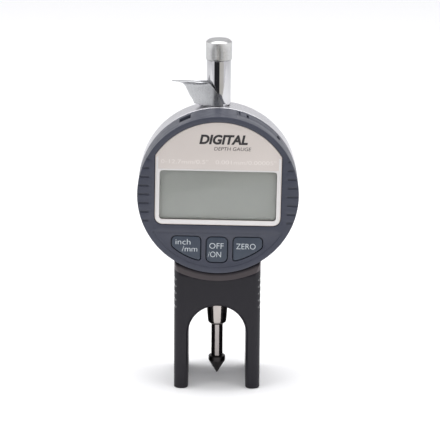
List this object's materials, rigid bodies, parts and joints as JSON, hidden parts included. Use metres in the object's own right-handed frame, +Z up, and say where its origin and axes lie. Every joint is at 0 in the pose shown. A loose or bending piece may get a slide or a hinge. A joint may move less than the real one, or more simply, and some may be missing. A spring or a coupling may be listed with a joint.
{
  "type": "dial indicator",
  "caption": "Digital dial indicator with a turnable face, sprung plunger, lift lever and three keys, clamped in a two-legged bridge base for measuring depths.",
  "frame": {"origin": "middle of the footprint's bounding box, on the plane of the two feet", "axes": "+Z up along the plunger, -Y towards the display's viewer, +X to the viewer's right"},
  "size_m": [0.06, 0.0362, 0.1328],
  "materials": {
    "base_black": "black anodised, satin",
    "blackened_steel": "blackened, satin",
    "brass": "turned",
    "case_silver": "fine turned lines, satin",
    "cover_silver": "satin",
    "chrome": "polished",
    "knurled_chrome": "straight knurl, satin",
    "spring_steel": "drawn",
    "screw_steel": "bright",
    "cell_steel": "bright nickel",
    "lever_sheet": "bright rolled sheet",
    "circuit_board": "solder mask",
    "dark_plastic": "moulded",
    "elastomer": "matt",
    "housing_plastic": "fine moulded satin",
    "key_plastic": "satin",
    "panel_silver": "fine pearl print",
    "lens_clear": "clear",
    "lcd_glass": "reflective grey-green display, blank"
  },
  "bodies": {
    "base_and_case": {"bridge_base": "base_black", "clamp_screw": "blackened_steel", "clamp_pad": "brass", "case_body": "case_silver", "back_cover": "cover_silver", "back_cover_screw_1": "screw_steel", "back_cover_screw_2": "screw_steel", "back_cover_screw_3": "screw_steel", "back_cover_screw_4": "screw_steel", "retaining_ring": "spring_steel", "ring_screw_1": "screw_steel", "ring_screw_2": "screw_steel", "ring_screw_3": "screw_steel", "sensor_board": "circuit_board", "stem": "chrome", "lower_bush": "brass", "upper_bush": "brass", "top_tube": "chrome", "knurled_cap": "knurled_chrome", "guide_rod": "chrome", "spring_anchor": "chrome", "return_spring": "spring_steel", "lever_bracket": "case_silver", "lever_pivot_pin": "chrome"},
    "plunger": {"spindle": "chrome", "contact_point": "blackened_steel", "scale_carrier": "dark_plastic", "scale_plate": "circuit_board", "lifting_collar": "brass"},
    "lever": {"lift_lever": "lever_sheet"},
    "face": {"front_housing": "housing_plastic", "display_panel": "panel_silver", "window_lens": "lens_clear", "lcd_module": "lcd_glass", "lcd_backer": "dark_plastic", "zebra_strip_1": "elastomer", "zebra_strip_2": "elastomer", "main_board": "circuit_board", "processor_chip": "dark_plastic", "board_screw_1": "screw_steel", "board_screw_2": "screw_steel", "board_screw_3": "screw_steel", "data_port_socket": "dark_plastic", "battery_contact_end": "brass", "battery_contact_side": "brass", "keypad_membrane": "elastomer", "key_dome_1": "spring_steel", "key_dome_2": "spring_steel", "key_dome_3": "spring_steel"},
    "unit_button": {"unit_key": "key_plastic"},
    "power_button": {"power_key": "key_plastic"},
    "zero_button": {"zero_key": "key_plastic"},
    "drawer": {"battery_drawer": "housing_plastic", "coin_cell": "cell_steel"}
  },
  "joints": [
    {"name": "plunger_travel", "type": "slide", "parent": "base_and_case", "child": "plunger", "axis": [0, 0, 1], "range_m": [0, 0.0127], "stiffness_N_per_m": 30, "springref_m": -0.02, "deforming": ["return_spring"]},
    {"name": "lever_tilt", "type": "hinge", "parent": "base_and_case", "child": "lever", "pos_m": [-0.0068, 0.00255, 0.1105], "axis": [0, -1, 0], "range_deg": [0, 35]},
    {"name": "face_turn", "type": "hinge", "parent": "base_and_case", "child": "face", "pos_m": [0, 0.00255, 0.0781], "axis": [0, 1, 0], "range_deg": [-135, 90]},
    {"name": "unit_press", "type": "slide", "parent": "face", "child": "unit_button", "axis": [0, 1, 0], "range_m": [0, 0.0004], "stiffness_N_per_m": 400, "springref_m": -0.001},
    {"name": "power_press", "type": "slide", "parent": "face", "child": "power_button", "axis": [0, 1, 0], "range_m": [0, 0.0004], "stiffness_N_per_m": 400, "springref_m": -0.001},
    {"name": "zero_press", "type": "slide", "parent": "face", "child": "zero_button", "axis": [0, 1, 0], "range_m": [0, 0.0004], "stiffness_N_per_m": 400, "springref_m": -0.001},
    {"name": "drawer_slide", "type": "slide", "parent": "face", "child": "drawer", "axis": [0.5105, 0, 0.8599], "range_m": [0, 0.015]}
  ],
  "couplings": [
    {"joint": "lever_tilt", "follows": "plunger_travel", "rad_per_m": 48}
  ]
}
